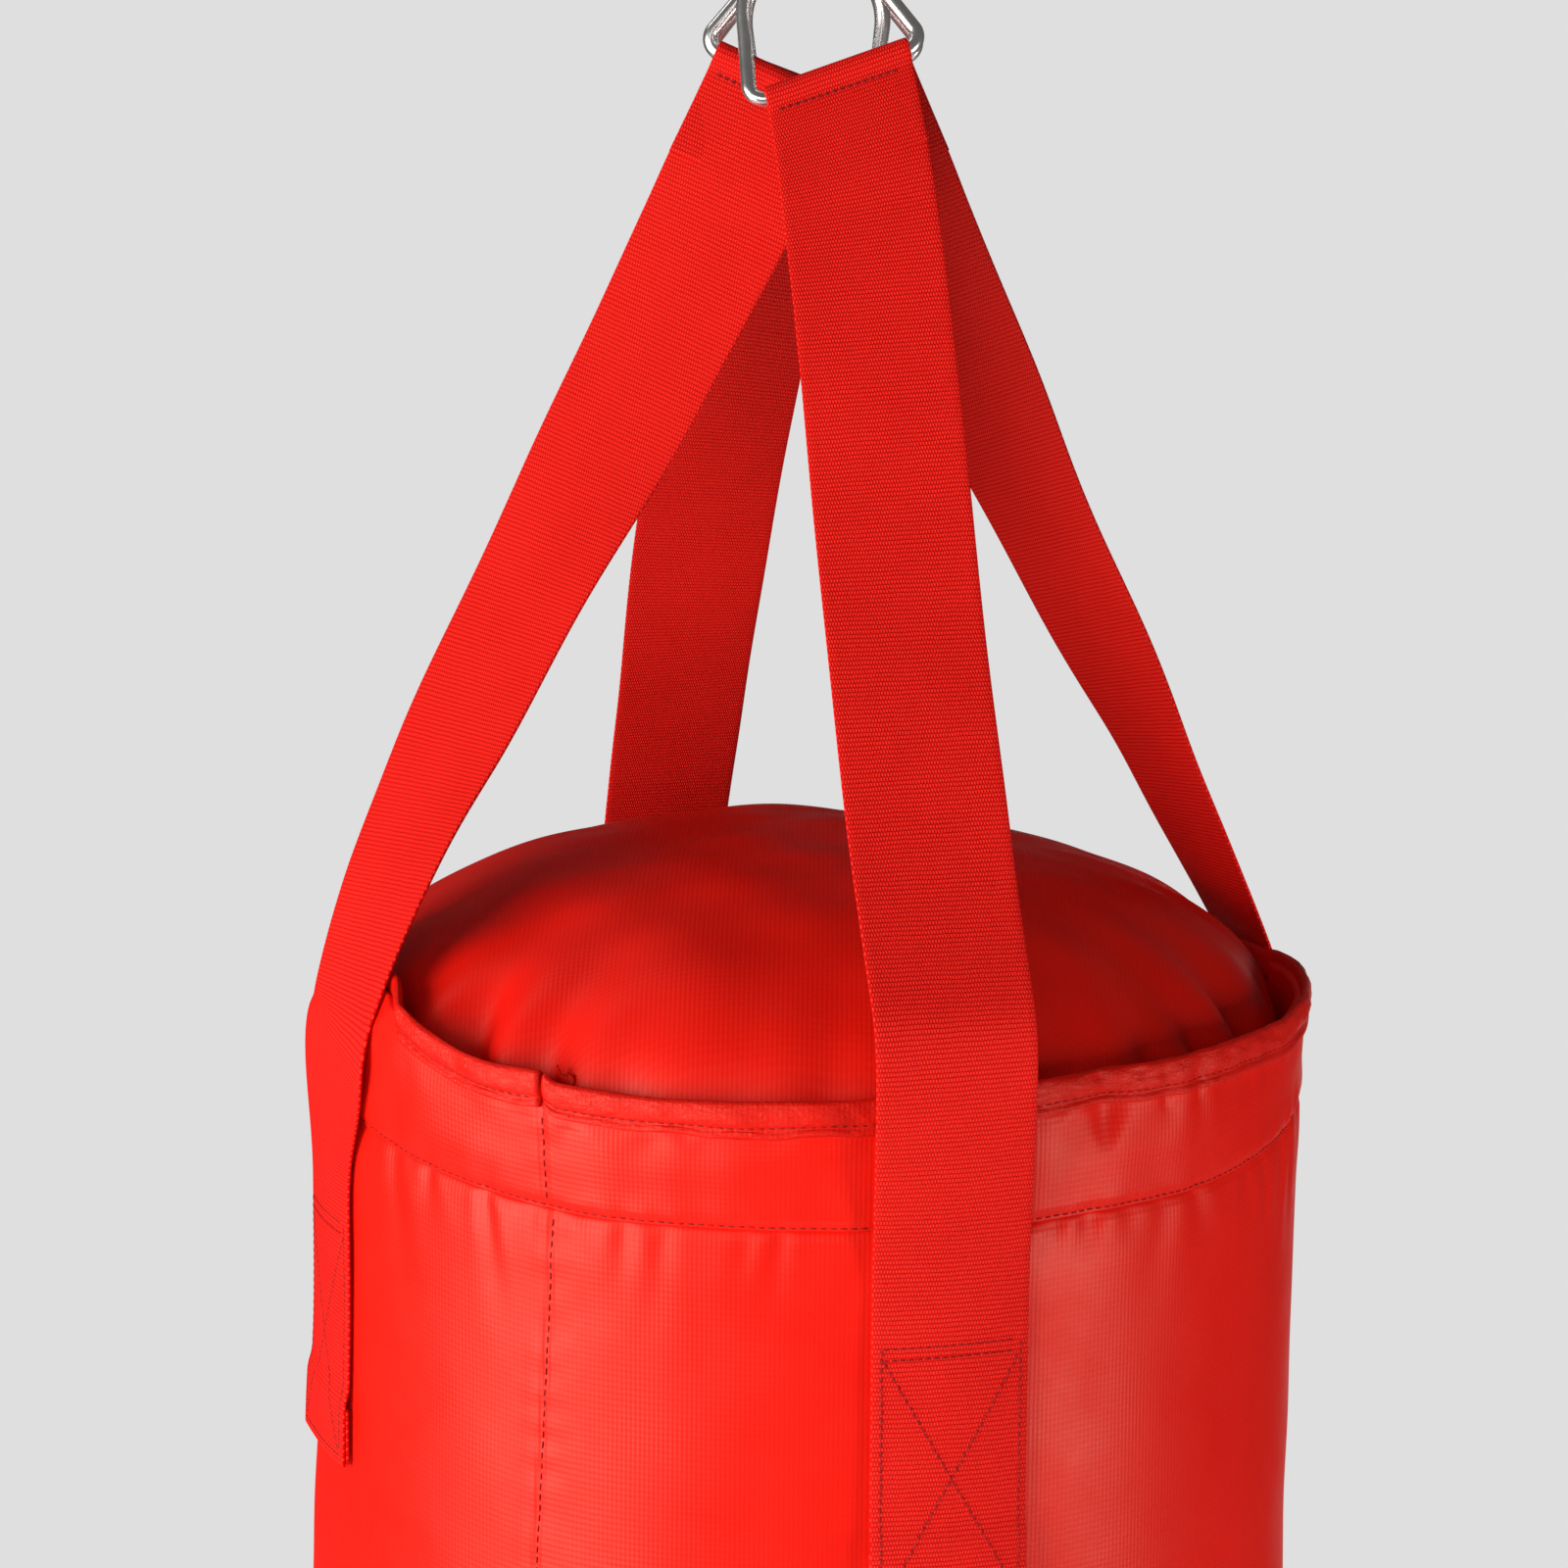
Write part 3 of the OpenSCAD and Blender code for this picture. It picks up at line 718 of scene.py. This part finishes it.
def wall_radius(phi, down):
    """down is the depth below the collar's seam."""
    r = R - 0.0004 - 0.0011 * bell(down, 0.0022) + 0.0005 * bell(down - 0.014, 0.010)
    r = r + bulge(phi, down) - fold_depth(WALL_FOLDS, phi, down)
    # the upright seam is a groove with a soft welt on its left, and its stitches nip the cloth
    off = wrap(phi - seam_bearing(down)) * R
    r = r - 0.0006 * bell(off, 0.0008) + 0.00022 * bell(off + 0.0045, 0.003)
    nip = np.cos(2 * math.pi * down / 0.0125 + 1.5 * np.sin(down * 90) + 60 * off)
    r = r - 0.00014 * nip * bell(off, 0.007)
    # the filling's slow waves, then small unevenness
    r = r + 0.0007 * np.cos(2 * phi + 9 * down) * smooth(down, 0.03, 0.2) + 0.0004 * np.sin(5 * phi - 14 * down)
    r = r + 0.0002 * crumple(round_cloth(phi), down, 31, 0.05) * smooth(down, 0.0, 0.05)
    end = (SEAM - BASE) - down
    return r - 0.004 * np.exp(-np.clip(end, 0, 1) / 0.004)


def seam_height(phi):
    return SEAM + seam_lift(phi)


def rim_height(phi):
    return RIM + rim_lift(phi)


def collar_height(phi, share):
    """share is 0 at the lower seam and 1 at the rim."""
    low = seam_height(phi)
    return low + share * (rim_height(phi) - low)


# Dents that hang from the hem: bearing, half width, share of the collar's height at the foot, depth.
COLLAR_DENTS = ((33.0, 0.0085, 0.36, 0.0030), (41.0, 0.0040, 0.60, 0.0010), (46.0, 0.004, 0.62, 0.0013),
                (27.0, 0.005, 0.62, 0.0006), (60.0, 0.007, 0.45, 0.0010), (-12.0, 0.006, 0.6, 0.0007))


def collar_radius(phi, share):
    """share is 0 at the lower seam and 1 at the rim."""
    share = np.clip(share, 0, None)
    height = share * COLLAR
    belly = np.sin(math.pi * np.clip(share, 0, 1))
    flat = 1 - 0.75 * np.clip(under_strap(phi, 8.5), 0, 1)
    flare = 0.0010 + 0.0012 * hill(phi, 72, 26) + 0.0010 * hill(phi, -40, 20) + 0.0004 * ripple(phi, 9, 3, 9)
    # the side straps draw the rim in
    drawn = 0.0035 * hill(phi, 112, 12) + 0.0034 * hill(phi, -72, 14)
    drawn = drawn + 0.0102 * hill(phi, -93, 17) + 0.0034 * hill(phi, 90, 16)
    r = R + 0.0002 + (flare * flat - drawn) * share**1.6 + 0.0015 * flat * belly**0.9
    r = r - 0.0012 * bell(height, 0.0022)
    r = r - 0.0040 * hill(phi, -90, 14) * belly**1.2
    r = r - fold_depth(COLLAR_FOLDS, phi, np.clip(COLLAR * 0.72 - height, 0, 1)) * (share < 0.75) * flat
    r = r - 0.5 * fold_depth(WALL_FOLDS, phi, np.clip(height, 0, 1) * 2.4) * flat
    for bearing, half, foot, deep in COLLAR_DENTS:
        rise = np.clip((share - foot) / (0.86 - foot), 0, 1)
        off = wrap(phi - math.radians(bearing)) * R
        r = r - deep * bell(off, half * (0.2 + 0.8 * rise)) * smooth(rise, 0.0, 0.7)
    # the upright seam's groove and the nips of its stitches
    off = wrap(phi - SEAM_AT) * R
    r = r - 0.0007 * bell(off, 0.0010) * (share < 0.99)
    r = r - 0.00012 * np.cos(2 * math.pi * height / 0.011) * bell(off, 0.006)
    r = r + 0.0004 * crumple(round_cloth(phi), height, 37, 0.028) * flat
    return pressed(phi, collar_height(phi, share), r)


def make_wall():
    phi = np.linspace(-math.pi, math.pi, 900, endpoint=False)
    tall, near_base = SEAM - BASE, SEAM - BASE - 0.03
    down = np.concatenate([np.arange(0, 0.09, 0.0014), np.arange(0.09, 0.25, 0.003),
                           np.arange(0.25, near_base, 0.011), np.linspace(near_base, tall, 14)])
    p, d = np.meshgrid(phi, down)
    lift = seam_lift(p) * (1 - smooth(d, 0.0, 0.5))
    outer = place(p, wall_radius(p, d), SEAM - d + lift)
    lip_top = place(phi, R - 0.006, SEAM + seam_lift(phi) - 0.001)[None]
    lip_low = place(phi, R - 0.012, BASE + 0 * phi)[None]
    points = np.concatenate([lip_top, outer, lip_low])
    uv = np.stack([np.concatenate([p[:1], p, p[:1]]) * R, -np.concatenate([d[:1] - 0.004, d, d[-1:] + 0.01])], -1)
    wall = grid("bag_wall", points[::-1], uv[::-1], COVER, round_cols=True)
    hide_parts("shell", "lining")
    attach(wall, "bag")


def make_collar():
    phi = np.linspace(-math.pi, math.pi, 900, endpoint=False)
    share = np.concatenate([[-0.01], np.linspace(0.0, 0.9, 46)])
    p, s = np.meshgrid(phi, share)
    outer = place(p, collar_radius(p, s), collar_height(p, s))
    # the inner face is smoother, and thickens towards the seam
    p_in, s_in = np.meshgrid(phi, np.linspace(0.9, 0.0, 12))
    smoothed = collar_radius(p_in, s_in) * 0.35 + 0.65 * R
    inner = place(p_in, smoothed - 0.0026 - 0.0008 * (1 - s_in), collar_height(p_in, s_in))
    points = np.concatenate([outer, inner])
    height = np.concatenate([s * COLLAR, COLLAR + (1 - s_in) * COLLAR])
    uv = np.stack([np.concatenate([p, p_in]) * R, height], -1)
    band = grid("collar_band", points, uv, COVER, round_rows=True, round_cols=True)
    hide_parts("collar")
    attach(band, "bag")


# The hem's section, out and up from its top: up the outer face with the groove of its stitches, then down inside.
HEM_PROFILE = [(0.0005, -0.0112), (0.0011, -0.0108), (0.0012, -0.0098), (0.0006, -0.0088), (0.0006, -0.0080),
               (0.0014, -0.0068), (0.0019, -0.0048), (0.0018, -0.0026), (0.0012, -0.0008), (0.0, 0.0),
               (-0.0012, -0.0008), (-0.0018, -0.0026), (-0.0018, -0.0060), (-0.0014, -0.0100),
               (-0.0004, -0.0112)]
HEM_STITCH = 4 / len(HEM_PROFILE)  # where the groove is on the way round
HEM_ROUND = 0.028  # once round the section


def hem_section(phi, turn):
    """The hem's closed section at phi: turn goes from 0 to 1 up the outer face, over the top and down inside."""
    knots = np.array(HEM_PROFILE + HEM_PROFILE[:1])
    at = np.linspace(0, 1, len(knots))
    x, y = np.interp(turn, at, knots[:, 0]), np.interp(turn, at, knots[:, 1])
    flat = 1 - 0.45 * np.clip(under_strap(phi, 9.0), 0, 1)
    along = wrap(phi) * R
    outside = bell(turn - 0.42, 0.22)
    wrinkled = 0.25 + 0.9 * hill(phi, 42, 22) + 0.3 * hill(phi, -45, 12)
    creases = crumple(along * 0.30, y + along * 0.12, 47, 0.0036, 24) * 0.00030 * wrinkled
    creases = creases + crumple(along, y * 1.5, 49, 0.018, 14) * 0.00025
    x = x * (flat + 0.12 * ripple(phi, 41, 9, 40)) + creases * outside
    y = y * (1 + 0.05 * ripple(phi, 43, 5, 30) + 0.16 * hill(phi, 60, 25))
    y = y + 0.0003 * ripple(phi, 45, 12, 60) * (turn < 0.2)
    top, outer = rim_height(phi) + 0.0004, collar_radius(phi, np.full_like(phi, 0.9)) + 0.0024
    return pressed(phi, top - 0.0030, outer) - 0.0021 + x, top + y


def lap_out(to_end):
    """How far the hem stands out near its left end, which lies outside the right end."""
    return LAP_OUT * bell(to_end, LAP_RUN)


def make_hem():
    start, end = SEAM_AT + 0.004, SEAM_AT + 2 * math.pi - 0.001
    phi = np.linspace(start, end, 1400)
    turn = np.linspace(0, 1, 60, endpoint=False)
    p, t = np.meshgrid(phi, turn, indexing="ij")
    r, z = hem_section(p, t)
    # the left end also stands a little higher
    to_end = (end - p) * R
    r = r + lap_out(to_end)
    z = z + 0.0006 * bell(to_end, 0.012)
    uv = np.stack([p * R, t * HEM_ROUND], -1)
    hem = grid("rim_hem", place(p, r, z), uv, BINDING, round_cols=True, caps=True)
    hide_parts("rim_binding")
    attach(hem, "bag")


def make_tab():
    """The hem's tucked end stands up behind the lap as a small frayed tab."""
    u, v = np.meshgrid(np.linspace(0, 1, 16), np.linspace(0, 1, 10))
    bearing = SEAM_AT + 0.008 + u * 0.034
    lean = 0.0012 * np.sin(u * 5.0) * v
    top = 0.0022 * (1 - u) + 0.0006 * np.sin(u * 9 + 1) + 0.0003 * np.sin(u * 31)
    height = RIM - 0.004 + rim_lift(bearing) * 0.4 + v * (0.003 + top)
    front, back = (place(bearing, R - inset + lean, height) for inset in (0.0035, 0.0047))
    loop = np.concatenate([front, back[::-1]])
    uv = np.stack([np.concatenate([u, u]) * 0.009, np.concatenate([v, v + 1]) * 0.009], -1)
    tab = grid("hem_tab", loop.transpose(1, 0, 2), uv.transpose(1, 0, 2), BINDING, round_cols=True, caps=True)
    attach(tab, "bag")


def lid_point(phi, t):
    """t is 0 at the crown and 1 at the sewn edge. The lid is lower on the right, where the filling has sunk."""
    theta = t * math.radians(97)
    hollow = hill(phi, 78, 42)
    wide = 0.1655 - 0.0030 * hollow
    sunk = 0.022 + 0.009 * hollow
    rise = 0.054 + sunk
    r = wide * np.sin(theta) ** 0.93
    z = RIM - sunk + rise * np.sign(np.cos(theta)) * np.abs(np.cos(theta)) ** 0.86
    down = (1 - t) * 0.255
    pull = fold_depth(LID_FOLDS, phi, down, 0.15)
    normal_r = np.sin(theta)
    normal_z = np.cos(theta) * 0.9
    x, y = r * np.sin(phi), r * np.cos(phi)
    swell = 0.0012 * crumple(x, y, 53, 0.14) + 0.0006 * crumple(x, y, 59, 0.045)
    move = swell * (1 - t**6) - pull
    lifted = (seam_lift(phi) * 0.5 + rim_lift(phi) * 0.25) * smooth(t, 0.45, 1.0)
    return place(phi, r + move * normal_r, z + move * normal_z + lifted)


def make_lid():
    phi = np.linspace(-math.pi, math.pi, 720, endpoint=False)
    t = np.concatenate([np.linspace(0.004, 0.5, 44, endpoint=False), np.linspace(0.5, 1.0, 110)])
    p, s = np.meshgrid(phi, t)
    sewn = place(phi, R - 0.0045, SEAM + 0.001 + seam_lift(phi) * 0.8)
    points = np.concatenate([lid_point(p, s), sewn[None]])
    lid = grid("lid_dome", points, points[..., :2].copy(), LID, round_cols=True)
    mesh = lid.data
    # close the crown
    bm = bmesh.new()
    bm.from_mesh(mesh)
    edge = [e for e in bm.edges if e.is_boundary and all(math.hypot(v.co.x, v.co.y) < 0.01 for v in e.verts)]
    bmesh.ops.contextual_create(bm, geom=edge)
    bmesh.ops.recalc_face_normals(bm, faces=bm.faces)
    bm.to_mesh(mesh)
    bm.free()
    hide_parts("dome_lid", "filling")
    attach(lid, "bag")


def make_base():
    """A flat round panel, a little domed by the filling's weight."""
    phi = np.linspace(-math.pi, math.pi, 360, endpoint=False)
    p, s = np.meshgrid(phi, np.linspace(0.004, 1.0, 60))
    r = s * (R - 0.004)
    sag = -0.0010 * (1 - s**2) + 0.0003 * crumple(r * np.sin(p), r * np.cos(p), 61, 0.05)
    under = place(p, r, BASE + 0.0007 + sag)
    top = place(phi, R - 0.004, BASE + 0.0035 + 0 * phi)[None]
    points = np.concatenate([under, top])[::-1]
    panel = grid("base_cloth", points, points[..., :2].copy(), COVER, round_cols=True)
    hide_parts("base_panel")
    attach(panel, "bag")


# The base's binding, out and up from the wall's foot: up the wall and in under the base.
BASE_PROFILE = [(0.0, 0.0138), (0.0010, 0.0142), (0.0016, 0.0132), (0.0018, 0.008), (0.0016, 0.002),
                (0.0010, -0.0004), (-0.001, -0.0012), (-0.006, -0.0014), (-0.011, -0.0013), (-0.0132, -0.0009),
                (-0.0136, -0.0002), (-0.011, 0.0001), (-0.004, 0.0001), (-0.0002, 0.0016), (0.0003, 0.006),
                (0.0002, 0.011)]


def make_base_binding():
    phi = np.linspace(-math.pi, math.pi, 720, endpoint=False)
    turn = np.linspace(0, 2 * math.pi, 40, endpoint=False)
    p, k = np.meshgrid(phi, turn, indexing="ij")
    knots = np.array(BASE_PROFILE + BASE_PROFILE[:1])
    at = np.linspace(0, 1, len(knots))
    x, y = (np.interp(k / (2 * math.pi), at, knots[:, axis]) for axis in (0, 1))
    uneven = 0.00016 * crumple(wrap(p) * R, k * 0.01, 67, 0.012)
    points = place(p, R + x + uneven - 0.0002, BASE + y + uneven)
    uv = np.stack([p * R, k * 0.006], -1)
    binding = grid("base_hem", points, uv, BINDING, round_rows=True, round_cols=True)
    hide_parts("base_binding")
    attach(binding, "bag")


make_wall()
make_collar()
make_hem()
make_tab()
make_lid()
make_base()
make_base_binding()


# ---------------------------------------------------------------- webbing straps
def on_strap(station, u, side):
    """The point at u across the strap, side half thicknesses off its middle, and the way its face looks."""
    centre, way, outward, curve, bend = station
    if curve < 0.01:
        return centre + way * u + outward * side * STRAP_THICK / 2, outward
    angle, bow = u * curve / R, R / curve
    radial = outward @ bend
    face = (bend * math.cos(angle) + way * math.sin(angle)) * radial + outward - bend * radial
    across = way * bow * math.sin(angle) - bend * bow * (1 - math.cos(angle))
    return centre + across + face * side * STRAP_THICK / 2, face


def strap_section():
    """Round the webbing's section with soft edges: (u across, half thicknesses out) each."""
    half = STRAP_WIDTH / 2
    face = np.linspace(-half + 0.0006, half - 0.0006, 25)
    edge = [(half - 0.00015, 0.75), (half, 0.25), (half, -0.25), (half - 0.00015, -0.75)]
    return ([(u, 1.0) for u in face] + edge + [(u, -1.0) for u in face[::-1]] + [(-u, -side) for u, side in edge])


def curled(shape, s, end, u):
    """How far the strap stands off the wall at its sewn end's far corner."""
    return shape["lift"] * smooth(s, end - 0.045, end) * np.clip(-u / (STRAP_WIDTH / 2), 0, 1) ** 2


def make_strap(name):
    stations, shape = strap_path(name)
    run = np.array([s[0] for s in stations])
    along = np.concatenate([[0], np.cumsum(np.linalg.norm(np.diff(run, axis=0), axis=1))])
    section = strap_section()
    points = np.array([[on_strap(station, u, side)[0] for u, side in section] for station in stations])
    # the free part waves a little, and the far corner of the sewn end stands off the wall
    phase = {"front": 71, "left": 73, "back": 79, "right": 83}[name]
    sewn = along[-1] - TURNED_UNDER
    free = smooth(along, 0.10, 0.20) * (1 - smooth(along, sewn - 0.26, sewn - 0.20))
    outward = np.array([s[2] for s in stations])
    us = np.array([u for u, _ in section])
    wave = 0.0006 * np.cos(along * 38 + phase) * free
    edge = 0.0009 * np.sin(along * 55 + phase * 2) * free
    moved = wave[:, None] + edge[:, None] * (us / (STRAP_WIDTH / 2))[None, :]
    points = points + outward[:, None, :] * moved[..., None]
    out, _ = ways_at(math.radians(STRAP_AT[name]))
    points = points + out * curled(shape, along[:, None], sewn, us[None, :])[..., None]
    uv = np.stack(np.broadcast_arrays(us[None, :], along[:, None]), -1).copy()
    strap = grid("webbing_" + name, points, uv, WEBBING[name], round_cols=True, caps=True)
    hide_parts("strap_" + name)
    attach(strap, "bag")
    return stations, shape, along


def strap_runs(stations, shape, along):
    """Stitch lines on one strap: across under the loop, and the box and cross at the end."""
    runs = []
    half = STRAP_WIDTH / 2 - 0.0030
    end = along[-1] - TURNED_UNDER
    box_start, box_end = end - (shape["drop"] - shape["box"]), end - 0.0045

    def spot(s, u):
        i = int(np.clip(np.searchsorted(along, s), 1, len(along) - 1))
        t = (s - along[i - 1]) / (along[i] - along[i - 1])
        (low, low_out), (high, high_out) = (on_strap(stations[k], u, 1.0) for k in (i - 1, i))
        curl = float(curled(shape, np.array(s), end, u))
        return low * (1 - t) + high * t + high_out * curl, unit(low_out * (1 - t) + high_out * t)

    def run(a, b, count=40):
        found = [spot(a[0] + (b[0] - a[0]) * t, a[1] + (b[1] - a[1]) * t) for t in np.linspace(0, 1, count)]
        runs.append((np.array([f[0] for f in found]), np.array([f[1] for f in found])))

    loop_at = float(along[TAIL_STATIONS + WRAP_STATIONS]) + LOOP_SEWN
    for shift in (0.0, 0.0007):
        run((loop_at + shift, -half), (loop_at + shift + 0.0004, half))
    for shift in (0.0, 0.0036):
        run((box_start + shift, -half), (box_start + shift - 0.0006, half))
    run((box_end, -half), (box_end, half))
    for side in (-1, 1):
        run((box_start, side * half), (box_end, side * half))
        run((box_start + 0.0040, side * (half - 0.0006)), (box_end, -side * (half - 0.0006)))
    return runs


def make_straps():
    sewn = []
    for name in STRAP_AT:
        sewn += strap_runs(*make_strap(name))
    boxes = stitches("strap_sewing", sewn, THREAD, pitch=0.0026, long=0.0022, thick=0.00034, sink=0.0001)
    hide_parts("strap_stitching")
    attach(boxes, "bag")


make_straps()


# ---------------------------------------------------------------- sewing on the cover
def run_at(phi, radius, height):
    """A run of stitches on the cover, with the way out at each point."""
    return place(phi, radius, height), place(phi, np.ones_like(phi), np.zeros_like(phi))


def make_cover_sewing():
    """Round the collar's seam, the hem and the base, and down the upright seam."""
    phi = np.linspace(-math.pi, math.pi, 2400)
    collar = run_at(phi, collar_radius(phi, np.full_like(phi, 0.012)) + 0.0001, seam_height(phi) + 0.0006)
    lap = np.linspace(SEAM_AT + 0.006, SEAM_AT + 2 * math.pi - 0.004, 2400)
    r, z = hem_section(lap, np.full_like(lap, HEM_STITCH))
    hem = run_at(lap, r + lap_out((SEAM_AT + 2 * math.pi - lap) * R), z)
    base = run_at(phi, np.full_like(phi, R + 0.0018), np.full_like(phi, BASE + 0.0105))
    sewing = stitches("cover_sewing", [collar, hem, base], THREAD, pitch=0.0031, long=0.0023, thick=0.00030,
                      sink=0.00006)
    share = np.linspace(0.06, 0.74, 80)
    at = np.full_like(share, SEAM_AT)
    band = run_at(at, collar_radius(at, share) + 0.0001, collar_height(at, share))
    down = np.linspace(0.003, SEAM - BASE - 0.02, 1800)
    at = seam_bearing(down)
    lifted = seam_lift(at) * (1 - smooth(down, 0.0, 0.5))
    wall = run_at(at, wall_radius(at, down) + 0.0001, SEAM - down + lifted)
    seam = stitches("seam_sewing", [band, wall], THREAD, pitch=0.0034, long=0.0024, thick=0.00032, sink=-0.00012)
    for piece in (sewing, seam):
        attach(piece, "bag")
    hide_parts("seam_stitching")


make_cover_sewing()


# ---------------------------------------------------------------- steel
def paint(node, mat):
    """A CAD node's material, in every slot it has."""
    obj = frame["nodes"][node]
    if not obj.material_slots:
        obj.data.materials.append(mat)
    for s in obj.material_slots:
        s.material = mat


for node in ("ring_front", "ring_left", "ring_back", "ring_right"):
    paint(node, RING_STEEL)
for node in ("hook_body", "hook_gate", "gate_rivet"):
    paint(node, HOOK_STEEL)
for node in ("swivel_eye", "swivel_link", "swivel_washer", "swivel_nut"):
    paint(node, SWIVEL_STEEL)
